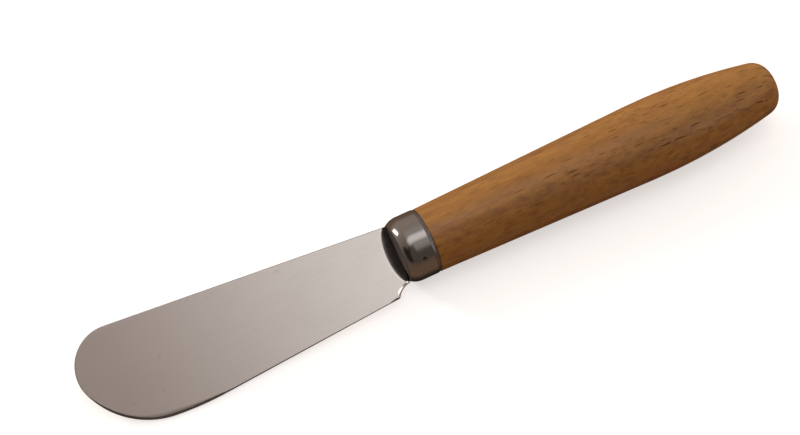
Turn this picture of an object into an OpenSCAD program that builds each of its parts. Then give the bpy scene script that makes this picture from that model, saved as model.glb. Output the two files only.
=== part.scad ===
// Butter knife: a stamped steel blade and tang, a drawn steel ferrule and a turned beech handle,
// set together with resin. Each piece is drawn along the axis of the handle, with the rear rim of
// the ferrule at zero, the tip toward -X, the butt toward +X, the spine toward +Y and the upper
// face of the blade toward +Z. The knife is then laid down the way it comes to rest, on the
// ferrule, the belly of the handle and the edge of the blade. All sizes are in millimetres.

/* [Show] */
// Which piece to build

/* [Ferrule] */
// Outer diameter of the round wall
ferrule_d = 16; // [15.6:0.1:16.8]
// Length from the rear rim to the flat front face
ferrule_len = 7.7; // [7.2:0.1:9]
// Thickness of the drawn sheet
ferrule_wall = 0.6; // [0.4:0.05:0.8]
// Radius of the rolled shoulder, measured along the axis
shoulder_r = 5; // [4.6:0.1:6]
// Radius of the flat front face, out to where the shoulder would meet it
face_r = 6.9; // [6.7:0.05:7.2]
// Radius of the small edge between shoulder and face
crease_r = 0.35; // [0.2:0.05:0.5]
// Width of the bevel on the rear rim
rim_bevel = 0.25; // [0.1:0.05:0.35]
// Clearance between the tang and its slot in the face, on each side
slot_gap = 0.1; // [0.05:0.01:0.2]
// Distance of the stake mark from the rear rim
stake_back = 3.3; // [2:0.1:3.4]
// Radius of the round punch that made the stake mark
stake_r = 0.5; // [0.4:0.05:0.6]
// Depth of the stake mark
stake_depth = 0.3; // [0.2:0.05:0.4]
// Angle of the stake mark round the ferrule, from the spine toward the upper face
stake_angle = 118; // [0:1:180]

/* [Blade] */
// Thickness of the ground blade
blade_t = 1.1; // [0.9:0.05:1.25]
// Height of the spine above the axis where it meets the ferrule
spine_root = 6.93; // [6:0.05:7.2]
// Angle at which the spine rises toward the tip
spine_angle = 4.95; // [4:0.1:5.8]
// Depth of the heel below the axis
heel_depth = 9.69; // [9:0.05:10.4]
// Distance from the ferrule to the corner of the heel
heel_gap = 3.57; // [3.2:0.05:4.2]
// Angle at which the edge falls toward the tip
edge_angle = 3.69; // [3:0.1:4.4]
// Length of the straight part of the edge, measured along the axis
edge_len = 45.47; // [40:0.1:50]
// Radius of the long curve at the end of the edge
under_r = 76; // [66:1:86]
// Angle of the long curve at the end of the edge
under_turn = 9.33; // [7:0.1:11]
// Radius of the front of the nose
front_r = 19.65; // [18.5:0.05:20.5]
// Radius of the upper corner of the nose
top_r = 9.43; // [8.5:0.05:10.2]
// Radius of the hollow between the heel and the ferrule
choil_r = 4.4; // [3:0.1:8]
// Depth of the root of the blade below the axis, at the ferrule
root_depth = 7.35; // [7:0.05:7.5]

/* [Tang] */
// Thickness of the steel before the blade is ground
tang_t = 1.3; // [1.3:0.05:1.6]
// Width of the tang at the ferrule
tang_w = 7; // [6:0.1:7.6]
// Width of the tang at its end
tang_end_w = 4.4; // [3.6:0.1:5]
// Length of the tang behind the blade
tang_len = 56; // [40:1:62]
// Depth of each notch that locks the tang in the resin
notch_depth = 0.8; // [0.4:0.1:1]
// Length of each notch
notch_len = 3; // [2:0.1:4]
// Distance between two notches
notch_step = 9; // [7:0.5:11]

/* [Handle] */
// Length from the rear rim of the ferrule to the flat end of the butt
handle_len = 92.8; // [88:0.1:100]
// Radius of the wood where it leaves the ferrule
neck_r = 7.9; // [7.4:0.05:7.95]
// Largest radius of the handle
belly_r = 9.43; // [9:0.01:10]
// Distance of the largest radius from the rear rim of the ferrule, as a share of the length
belly_share = 0.647; // [0.6:0.005:0.7]
// Radius of the curve in front of the belly, measured along the axis
fore_r = 200; // [160:5:240]
// Radius of the flat at the end of the butt
flat_r = 2.45; // [1.5:0.05:3]
// Radius of the rounded edge of the butt
butt_r = 4.3; // [3.5:0.1:5]
// Diameter of the hole for the tang
bore_d = 8; // [7.8:0.1:8.6]
// Depth of the hole behind the rear rim of the ferrule
bore_depth = 54; // [50:1:60]
// Length of the wood that sits inside the ferrule
spigot_len = 4.3; // [4.2:0.05:4.5]
// Angle at the point of the drilled hole
drill_angle = 118; // [90:1:140]

/* [Hidden] */
$fn = 180;
// How far a cutting shape runs past the solid it cuts
cut = 1;
// How far the outer side of a curve's cutting shape stands off, as a share of the radius
stand_off_share = 1.2;

// Ferrule, outside
ferrule_r = ferrule_d / 2;
face_x = -ferrule_len;
shoulder_y = ferrule_r - shoulder_r;
shoulder_x = face_x + sqrt(pow(shoulder_r, 2) - pow(face_r - shoulder_y, 2));
crease_x = face_x + crease_r;
crease_y = shoulder_y + sqrt(pow(shoulder_r - crease_r, 2) - pow(shoulder_x - crease_x, 2));
crease_turn = atan2(crease_y - shoulder_y, crease_x - shoulder_x);

// Ferrule, inside
inner_r = ferrule_r - ferrule_wall;
inner_face_x = face_x + ferrule_wall;
inner_shoulder_r = shoulder_r - ferrule_wall;
inner_start = acos((inner_face_x - shoulder_x) / inner_shoulder_r);

// Nose of the blade, from the end of the straight edge round to the spine
edge_end = [face_x - heel_gap - edge_len, -heel_depth - edge_len * tan(edge_angle)];
under_c = edge_end + under_r * [-sin(edge_angle), cos(edge_angle)];
under_from = 270 + edge_angle;
under_to = under_from - under_turn;
front_c = under_c + (under_r - front_r) * [cos(under_to), sin(under_to)];
spine_run = [-cos(spine_angle), sin(spine_angle)];
spine_in = [-sin(spine_angle), -cos(spine_angle)];
top_line = [face_x, spine_root] + top_r * spine_in - front_c;
top_along = top_line * spine_run;
top_reach = -top_along + sqrt(pow(top_along, 2) - top_line * top_line + pow(front_r - top_r, 2));
top_c = front_c + top_line + top_reach * spine_run;
front_to = atan2(top_c[1] - front_c[1], top_c[0] - front_c[0]) + 360 * (top_c[1] < front_c[1] ? 1 : 0);
top_to = 90 - spine_angle;
heel = [face_x - heel_gap, -heel_depth];
root_low = [face_x, -root_depth];
choil_half = (root_low - heel) / 2;
choil_out = [choil_half[1], -choil_half[0]] / norm(choil_half);
choil_c = heel + choil_half + choil_out * sqrt(pow(choil_r, 2) - choil_half * choil_half);

// Handle
belly_x = belly_share * handle_len;
fore_c = [belly_x, belly_r - fore_r];
neck_to_c = [belly_x, fore_c[1] - neck_r];
neck_angle = atan2(neck_to_c[1], neck_to_c[0]) + asin(fore_r / norm(neck_to_c));
butt_x = handle_len - butt_r;
butt_fall = belly_r - flat_r;
rear_r = (pow(butt_x - belly_x, 2) + pow(butt_fall, 2) - pow(butt_r, 2)) / (2 * (butt_fall - butt_r));
rear_c = [belly_x, belly_r - rear_r];
butt_turn = atan2(flat_r - rear_c[1], butt_x - belly_x);
bore_r = bore_d / 2;
drill_len = bore_r / tan(drill_angle / 2);

// How the knife lies: the pitch comes from the ferrule and the belly, the roll from the edge
lie_x = belly_x - shoulder_x;
lie_y = shoulder_y - fore_c[1];
pitch = asin((fore_r - shoulder_r) / norm([lie_x, lie_y])) - atan2(lie_y, lie_x);
lift = fore_r + fore_c[1] * cos(pitch) - belly_x * sin(pitch);
edge_h = (lift + under_c[0] * sin(pitch)) / cos(pitch);
function roll_for(stretch) =
    let (depth = under_r * stretch - under_c[1])
    asin(edge_h / norm([depth, blade_t / 2])) - atan2(blade_t / 2, depth);
roll = roll_for(1 / cos(atan2(tan(pitch), sin(roll_for(1)))));

// Middle of the lying knife, seen from above
tip_end = (top_c[0] - top_r) * cos(pitch) - top_c[1] * sin(roll) * sin(pitch);
butt_end = handle_len * cos(pitch) + flat_r * sin(pitch);
mid_x = (tip_end + butt_end) / 2;
mid_y = (top_c[1] + top_r + under_c[1] - under_r) * cos(roll) / 2;

// A point on a circle
function on_circle(c, r, a) = c + r * [cos(a), sin(a)];

// The part of a disc outside its chord, between two angles
module bulge(c, r, a0, a1) {
    out = stand_off_share * r * [cos((a0 + a1) / 2), sin((a0 + a1) / 2)];
    p0 = on_circle(c, r, a0);
    p1 = on_circle(c, r, a1);
    intersection() {
        translate(c) circle(r = r);
        polygon([p0, p1, p1 + out, p0 + out]);
    }
}

// Lays a piece down the way the knife rests, centred above the origin
module lie_down() {
    translate([-mid_x, -mid_y, lift])
        rotate([0, -pitch, 0])
            rotate([roll, 0, 0])
                children();
}

// Turns a profile, drawn with the axis along X, into a round solid along X
module turned() {
    rotate([90, 0, 90])
        rotate_extrude()
            rotate([0, 0, 90])
                mirror([0, 1, 0])
                    children();
}

// Outline of the blade without its tang
module blade_outline() {
    difference() {
        union() {
            polygon([
                [face_x, heel_gap * tan(edge_angle) - heel_depth],
                [face_x, spine_root],
                on_circle(top_c, top_r, top_to),
                on_circle(top_c, top_r, front_to),
                on_circle(front_c, front_r, under_to),
                edge_end
            ]);
            bulge(top_c, top_r, top_to, front_to);
            bulge(front_c, front_r, front_to, under_to);
            bulge(under_c, under_r, under_to, under_from);
        }
        translate(choil_c) circle(r = choil_r);
    }
}

// Outline of the tang with its locking notches
module tang_outline() {
    difference() {
        polygon([
            [face_x, -tang_w / 2],
            [face_x, tang_w / 2],
            [0, tang_w / 2],
            [face_x + tang_len, tang_end_w / 2],
            [face_x + tang_len, -tang_end_w / 2],
            [0, -tang_w / 2]
        ]);
        for (i = [1 : 3])
            for (side = [-1, 1])
                tang_notch(i * notch_step, side);
    }
}

// One notch in the side of the tang: square toward the butt and sloping toward the tip
module tang_notch(x, side) {
    half = (tang_w + (tang_end_w - tang_w) * x / (tang_len + face_x)) / 2;
    polygon([
        [x - notch_len * cut / notch_depth, side * (half + cut)],
        [x + notch_len, side * (half - notch_depth)],
        [x + notch_len, side * (half + cut)]
    ]);
}

// The blade and its tang, stamped from one sheet
module blade_body() {
    linear_extrude(height = blade_t, center = true) blade_outline();
    linear_extrude(height = tang_t, center = true) tang_outline();
}

// Outer profile of the ferrule, filled to the axis
module ferrule_outside() {
    polygon([
        [face_x, 0],
        [face_x, crease_y],
        on_circle([shoulder_x, shoulder_y], shoulder_r, crease_turn),
        [shoulder_x, ferrule_r],
        [-rim_bevel, ferrule_r],
        [0, ferrule_r - rim_bevel],
        [0, 0]
    ]);
    bulge([shoulder_x, shoulder_y], shoulder_r, 90, crease_turn);
    bulge([crease_x, crease_y], crease_r, crease_turn, 180);
}

// Inner profile of the ferrule, filled to the axis, from the inner face to a chosen end
module ferrule_inside(end_x) {
    polygon([
        [inner_face_x, 0],
        on_circle([shoulder_x, shoulder_y], inner_shoulder_r, inner_start),
        [shoulder_x, inner_r],
        [end_x, inner_r],
        [end_x, 0]
    ]);
    bulge([shoulder_x, shoulder_y], inner_shoulder_r, 90, inner_start);
}

// The ball of the punch where the ferrule is staked to the wood
module stake_ball(r) {
    rotate([stake_angle, 0, 0])
        translate([-stake_back, ferrule_r - stake_depth + stake_r, 0])
            sphere(r = r);
}

// The drawn cap with its slot and its stake mark
module ferrule_body() {
    difference() {
        union() {
            difference() {
                turned() ferrule_outside();
                turned() ferrule_inside(cut);
                slot_w = tang_w + 2 * slot_gap;
                slot_t = tang_t + 2 * slot_gap;
                translate([face_x - cut, -slot_w / 2, -slot_t / 2])
                    cube([ferrule_wall + 2 * cut, slot_w, slot_t]);
            }
            intersection() {
                stake_ball(stake_r + ferrule_wall);
                turned() ferrule_inside(-rim_bevel);
            }
        }
        stake_ball(stake_r);
    }
}

// Profile of the wood behind the ferrule
module handle_profile() {
    polygon([
        [0, 0],
        [0, neck_r],
        on_circle(fore_c, fore_r, 90 + neck_angle),
        [belly_x, belly_r],
        on_circle(rear_c, rear_r, butt_turn),
        [handle_len, flat_r],
        [handle_len, 0]
    ]);
    bulge(fore_c, fore_r, 90, 90 + neck_angle);
    bulge(rear_c, rear_r, butt_turn, 90);
    bulge([butt_x, flat_r], butt_r, 0, butt_turn);
}

// Profile of the hole for the tang, with the point left by the drill
module bore_profile(start_x) {
    polygon([
        [start_x, 0],
        [start_x, bore_r],
        [bore_depth, bore_r],
        [bore_depth + drill_len, 0]
    ]);
}

// The wood: the grip, the spigot inside the ferrule and the blind hole for the tang
module handle_body() {
    difference() {
        union() {
            turned() handle_profile();
            translate([-spigot_len, 0, 0])
                rotate([0, 90, 0])
                    cylinder(r = inner_r, h = spigot_len + cut);
        }
        turned() bore_profile(-spigot_len - cut);
        stake_ball(stake_r + ferrule_wall);
    }
}

// The resin that fills the nose of the ferrule and the hole round the tang
module resin_body() {
    difference() {
        union() {
            turned() ferrule_inside(-spigot_len);
            turned() bore_profile(-spigot_len - cut);
        }
        linear_extrude(height = tang_t, center = true) tang_outline();
    }
}

module blade() {
    color([0.78, 0.77, 0.76]) lie_down() blade_body();
}

module tang_resin() {
    color([0.55, 0.5, 0.4]) lie_down() resin_body();
}

module ferrule() {
    color([0.6, 0.6, 0.61]) lie_down() ferrule_body();
}

module handle() {
    color([0.66, 0.44, 0.24]) lie_down() handle_body();
}

blade();
tang_resin();
ferrule();
handle();
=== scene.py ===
"""A butter knife in its photographed finish: polished blade, drawn ferrule, lacquered beech handle.

Sizes are in millimetres along the knife's own axes. The u axis runs from the tip to the butt, with
the rear rim of the ferrule at zero, v runs from the cutting edge to the spine, and w points out of
the upper face of the blade. RestingPlace lays the knife down in the frame, where lengths are metres.
"""

import logging
import math
from dataclasses import dataclass, field
from enum import Enum

import bmesh
import bpy
from mathutils import Matrix, Vector


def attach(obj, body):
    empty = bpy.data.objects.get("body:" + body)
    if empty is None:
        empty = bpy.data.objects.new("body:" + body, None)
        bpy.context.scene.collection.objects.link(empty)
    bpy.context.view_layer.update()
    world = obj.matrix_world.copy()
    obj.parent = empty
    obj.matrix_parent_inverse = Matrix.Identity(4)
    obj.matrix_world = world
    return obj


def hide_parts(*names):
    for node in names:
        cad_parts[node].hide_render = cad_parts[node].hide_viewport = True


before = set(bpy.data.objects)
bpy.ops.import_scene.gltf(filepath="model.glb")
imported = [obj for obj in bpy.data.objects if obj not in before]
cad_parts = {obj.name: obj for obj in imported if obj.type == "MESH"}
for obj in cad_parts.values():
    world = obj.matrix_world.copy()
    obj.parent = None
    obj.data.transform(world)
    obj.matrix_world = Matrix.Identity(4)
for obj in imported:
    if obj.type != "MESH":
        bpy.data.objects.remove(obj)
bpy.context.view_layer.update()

BODY = "root"
MM = 0.001
SAME_POINT_M = 1e-7
NEAR_ZERO = 1e-9

Socket = bpy.types.NodeSocket
Color = tuple[float, float, float]
Sizes = tuple[float, float, float]
Ramp = tuple[float, float, float, float]
Points = list[Vector]
Faces = list[tuple[int, ...]]

log = logging.getLogger("butter_knife")


class Slot(Enum):
    """The nodes of model.glb that the pieces stand in for or dress, each by its name."""

    BLADE = "blade"
    TANG_RESIN = "tang_resin"
    FERRULE = "ferrule"
    HANDLE = "handle"


class Stretch(Enum):
    """The stretches of the blade's outline, from the ferrule round the tip and back."""

    CHOIL = "choil"
    EDGE = "edge"
    UNDER = "under"
    FRONT = "front"
    TOP = "top"
    SPINE = "spine"


# Drawing with arcs and turned profiles


@dataclass(frozen=True)
class Arc:
    """A round stretch of an outline, with its angles in degrees."""

    center: Vector
    radius: float
    start: float
    stop: float

    def at(self, angle: float) -> Vector:
        """Finds a point of the circle.

        Args:
            angle: Direction from the centre, in degrees.

        Returns:
            The point at that angle.
        """
        turn = math.radians(angle)
        return self.center + self.radius * Vector((math.cos(turn), math.sin(turn)))

    def points(self, chord: float) -> Points:
        """Divides the arc into equal steps.

        Args:
            chord: The longest step allowed, in millimetres.

        Returns:
            The points from the start to the stop, both included.
        """
        length = abs(math.radians(self.stop - self.start)) * self.radius
        steps = max(1, math.ceil(length / chord))
        return [self.at(self.start + (self.stop - self.start) * i / steps) for i in range(steps + 1)]


def run(start: Vector, stop: Vector, chord: float) -> Points:
    """Divides a straight stretch into equal steps.

    Args:
        start: First point.
        stop: Last point.
        chord: The longest step allowed, in millimetres.

    Returns:
        The points from the start to the stop, both included.
    """
    steps = max(1, math.ceil((stop - start).length / chord))
    return [start.lerp(stop, i / steps) for i in range(steps + 1)]


def chain(*stretches: Points) -> Points:
    """Joins stretches that share their end points.

    Args:
        stretches: Lists of points, each starting where the one before it ends.

    Returns:
        One list without the doubled points.
    """
    joined = list(stretches[0])
    for stretch in stretches[1:]:
        joined.extend(stretch[1:])
    return joined


def ring_faces(rings: int, around: int, closed: bool) -> Faces:
    """Lists the quads between rings of points.

    Args:
        rings: Number of rings.
        around: Number of points in a ring.
        closed: Whether the last ring also meets the first one.

    Returns:
        The faces, as indices into the rings laid end to end.
    """
    faces = []
    for i in range(rings if closed else rings - 1):
        here, there = i * around, (i + 1) % rings * around
        for j in range(around):
            k = (j + 1) % around
            faces.append((here + j, here + k, there + k, there + j))
    return faces


def add(name: str, data: bpy.types.ID) -> bpy.types.Object:
    """Adds an object to the scene.

    Args:
        name: Its name.
        data: Its mesh, light or camera.

    Returns:
        The object.
    """
    made = bpy.data.objects.new(name, data)
    bpy.context.scene.collection.objects.link(made)
    return made


def aim(made: bpy.types.Object, way: Vector, roll: float) -> None:
    """Turns a light or a camera to look one way.

    Args:
        made: The light or camera.
        way: The direction that it looks in.
        roll: Angle in degrees by which it is turned round that direction.
    """
    level = way.to_track_quat("-Z", "Y").to_matrix()
    made.rotation_euler = (level @ Matrix.Rotation(math.radians(roll), 3, "Z")).to_euler()


def make_solid(name: str, verts: Points, faces: Faces) -> bpy.types.Object:
    """Makes a closed mesh along the knife's own axes, with its faces turned outward.

    Args:
        name: Name of the piece.
        verts: Points in millimetres.
        faces: Indices into the points.

    Returns:
        The piece, in metres.
    """
    mesh = bpy.data.meshes.new(name)
    mesh.from_pydata([v * MM for v in verts], [], faces)
    work = bmesh.new()
    work.from_mesh(mesh)
    bmesh.ops.recalc_face_normals(work, faces=work.faces)
    work.to_mesh(mesh)
    work.free()
    return add(name, mesh)


def settle(piece: bpy.types.Object, lay: Matrix, sharp: float = 32.0) -> bpy.types.Object:
    """Lays a piece down in the frame and shades it smooth between its sharp edges.

    Args:
        piece: A piece along the knife's own axes.
        lay: Where the knife lies.
        sharp: Angle in degrees from which an edge stays sharp.

    Returns:
        The same piece.
    """
    piece.data.transform(lay)
    piece.data.shade_smooth()
    piece.data.set_sharp_from_angle(angle=math.radians(sharp))
    return piece


# Finishes


@dataclass(frozen=True)
class Grain:
    """Fractal noise: the size of its grains along each axis in millimetres, its detail and roughness."""

    sizes: Sizes
    detail: float = 2.0
    roughness: float = 0.5


class Wiring:
    """Lays out the nodes of one shader and wires them."""

    def __init__(self, tree: bpy.types.NodeTree, shader: str) -> None:
        """Takes up a tree of nodes.

        Args:
            tree: The nodes to add to.
            shader: Name of the node that gets the results.
        """
        self.tree = tree
        self.shader = tree.nodes[shader]

    def set(self, **sockets: object) -> None:
        """Sets the shader's own sockets, with _ in place of a space in their names."""
        for key, value in sockets.items():
            self.shader.inputs[key.replace("_", " ")].default_value = value

    def wire(self, source: Socket, socket: str) -> None:
        """Wires a value to one of the shader's sockets."""
        self.tree.links.new(source, self.shader.inputs[socket])

    def node(self, kind: str, *feeds: object, **settings: object) -> bpy.types.Node:
        """Adds one node.

        Args:
            kind: The node's type without its ShaderNode prefix.
            feeds: What goes into its sockets in order: a socket, a value, or None to leave one alone.
            settings: The node's own settings.

        Returns:
            The new node.
        """
        made = self.tree.nodes.new("ShaderNode" + kind)
        for key, value in settings.items():
            setattr(made, key, value)
        for socket, feed in zip(made.inputs, feeds):
            if isinstance(feed, Socket):
                self.tree.links.new(feed, socket)
            elif feed is not None:
                socket.default_value = feed
        return made

    def math(self, operation: str, *feeds: object) -> Socket:
        """Gives what one step of arithmetic makes."""
        return self.node("Math", *feeds, operation=operation).outputs[0]

    def vector(self, operation: str, *feeds: object) -> Socket:
        """Gives the vector that one step of vector arithmetic makes."""
        return self.node("VectorMath", *feeds, operation=operation).outputs[0]

    def total(self, *parts: tuple[Socket, float]) -> Socket:
        """Adds up values.

        Args:
            parts: Each value with its weight.

        Returns:
            The weighted sum.
        """
        whole = None
        for value, weight in parts:
            part = value if weight == 1.0 else self.math("MULTIPLY", value, weight)
            whole = part if whole is None else self.math("ADD", whole, part)
        return whole

    def fit(self, value: Socket, *ramp: float) -> Socket:
        """Maps a value smoothly from its range, the first two numbers, to the range of the last two."""
        return self.node("MapRange", value, *ramp, interpolation_type="SMOOTHSTEP").outputs[0]

    def blend(self, share: object, under: object, over: object) -> Socket:
        """Mixes two colours, each wired or given as numbers.

        Args:
            share: How much of the upper one shows, from 0 to 1.
            under: The lower colour.
            over: The upper colour.

        Returns:
            The mixed colour.
        """
        ends = [end if isinstance(end, Socket) else (*end, 1.0) for end in (under, over)]
        return self.node("Mix", share, *[None] * 5, *ends, data_type="RGBA").outputs[2]


class Bench(Wiring):
    """Lays out the nodes of one material."""

    def __init__(self, name: str, lay: Matrix) -> None:
        """Starts an empty material with its shader and output.

        Args:
            name: Name of the material.
            lay: Where the knife lies.
        """
        self.lay = lay
        self.material = bpy.data.materials.new(name)
        self.material.use_nodes = True
        super().__init__(self.material.node_tree, "Principled BSDF")

    def millimetres(self, turn: float = 0.0) -> Socket:
        """Gives the place on the knife in millimetres.

        Args:
            turn: Angle in degrees by which the axes are turned round the knife.

        Returns:
            A vector socket.
        """
        place = self.node("TexCoord").outputs["Object"]
        own = self.node(
            "Mapping", place, self.lay.translation, self.lay.to_euler(), (MM,) * 3, vector_type="TEXTURE"
        ).outputs[0]
        return self.node("Mapping", own, None, (math.radians(turn), 0.0, 0.0)).outputs[0]

    def stretch(self, place: Socket, sizes: Sizes) -> Socket:
        """Divides a place by the size of the pattern along each axis."""
        return self.vector("MULTIPLY", place, tuple(1 / s for s in sizes))

    def noise(self, place: Socket, grain: Grain) -> Socket:
        """Gives fractal noise.

        Args:
            place: The place on the knife or in the plank, in millimetres.
            grain: The kind of noise.

        Returns:
            The height of the noise, from 0 to 1.
        """
        made = self.node("TexNoise", self.stretch(place, grain.sizes))
        made.inputs["Scale"].default_value = 1.0
        made.inputs["Detail"].default_value = grain.detail
        made.inputs["Roughness"].default_value = grain.roughness
        return made.outputs["Fac"]

    def bump(self, height: Socket, depth_mm: float) -> None:
        """Gives the shader a relief of a real depth.

        Args:
            height: The relief, from 0 to 1.
            depth_mm: How far a height of 1 stands out, in millimetres.
        """
        made = self.node("Bump")
        made.inputs["Strength"].default_value = 1.0
        made.inputs["Distance"].default_value = depth_mm * MM
        self.tree.links.new(height, made.inputs["Height"])
        self.wire(made.outputs[0], "Normal")


class Finish:
    """A finish of a piece or of the table, which a dataclass with its name and looks fills in."""

    name: str

    def material(self, lay: Matrix) -> bpy.types.Material:
        """Builds the material.

        Args:
            lay: Where the knife lies.

        Returns:
            The material.
        """
        bench = Bench(self.name, lay)
        self.paint(bench)
        return bench.material

    def paint(self, bench: Bench) -> None:
        """Wires the looks of the finish, which each finish does in its own way."""
        raise NotImplementedError(self.name)


@dataclass(frozen=True)
class PolishedSteel(Finish):
    """Stainless steel off the polishing wheel, with a slight haze, wiping marks and faint spots.

    Its smudge is the colour where it was wiped, haze is how far its roughness wanders, scratch_mm is
    the depth of its scratches, spots is the strength of the spots, and grazing is how much of the
    light it keeps at a grazing angle.
    """

    name: str
    color: Color
    smudge: Color
    roughness: float
    haze: float
    scratch_mm: float
    spots: float = 0.18
    grazing: float = 1.0
    cloud: Grain = Grain((14.0, 9.0, 9.0), 3.0, 0.55)
    wipe: Grain = Grain((9.0, 0.5, 0.5), 3.0, 0.6)
    speck: Grain = Grain((0.9, 0.9, 0.9), 2.0, 0.6)
    spot: Grain = Grain((2.2, 1.7, 1.7), 1.0)
    cloud_share: float = 0.6
    wiped: Ramp = (0.42, 0.7, 0.0, 1.0)
    spotted: tuple[float, float] = (0.70, 0.82)
    spot_shade: float = 0.6
    dulled: tuple[float, float] = (0.3, 0.75)
    dusty: tuple[float, float] = (0.55, 0.8)
    speck_height: float = 0.5

    def paint(self, bench: Bench) -> None:
        """Wires the steel.

        Args:
            bench: Where the material is made.
        """
        bench.set(Metallic=1.0, Specular_Tint=(self.grazing,) * 3 + (1.0,))
        place = bench.millimetres()
        wipes, specks = bench.noise(place, self.wipe), bench.noise(place, self.speck)
        marks = bench.total(
            (bench.noise(place, self.cloud), self.cloud_share), (wipes, 1.0 - self.cloud_share)
        )
        color = bench.blend(bench.fit(marks, *self.wiped), self.color, self.smudge)
        spots = bench.fit(bench.noise(place, self.spot), *self.spotted, 0.0, self.spots)
        color = bench.blend(spots, color, tuple(self.spot_shade * c for c in self.smudge))
        bench.wire(color, "Base Color")
        dull = bench.fit(marks, *self.dulled, self.roughness - self.haze, self.roughness + self.haze)
        dust = bench.fit(specks, *self.dusty, 0.0, self.haze)
        bench.wire(bench.total((dull, 1.0), (dust, 1.0)), "Roughness")
        bench.bump(bench.total((wipes, 1.0), (specks, self.speck_height)), self.scratch_mm)


@dataclass(frozen=True)
class Spindles:
    """The rays of the wood: thin ribbons that show as short dark spindles where the cut crosses them.

    The pitch from ray to ray and the half sizes of the largest ray are in millimetres along the
    grain, across the rays and along the rays. The smallest ray has the least share of that size,
    depth is the range of how dark they are, and core is the share that is darkest in each.
    """

    pitch: Sizes
    half: Sizes
    least: float
    depth: tuple[float, float]
    core: float = 0.45

    def share(self, bench: Bench, place: Socket) -> Socket:
        """Scatters the rays through the wood.

        Args:
            bench: Where the material is made.
            place: The place in the plank.

        Returns:
            A share from 0 in plain wood to 1 in the middle of the darkest ray.
        """
        cells = bench.stretch(place, self.pitch)
        seeds = bench.node("TexVoronoi", cells, feature="F1")
        seeds.inputs["Scale"].default_value = 1.0
        seeds.inputs["Randomness"].default_value = 1.0
        away = bench.vector("SUBTRACT", cells, seeds.outputs["Position"])
        scaled = bench.vector("MULTIPLY", away, tuple(p / h for p, h in zip(self.pitch, self.half)))
        far = bench.node("VectorMath", scaled, operation="LENGTH").outputs["Value"]
        chance = bench.node("SeparateColor", seeds.outputs["Color"]).outputs
        size = bench.fit(chance[0], 0.0, 1.0, self.least, 1.0)
        spindle = bench.fit(bench.math("DIVIDE", far, size), self.core, 1.0, 1.0, 0.0)
        return bench.math("MULTIPLY", spindle, bench.fit(chance[1], 0.0, 1.0, *self.depth))


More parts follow.
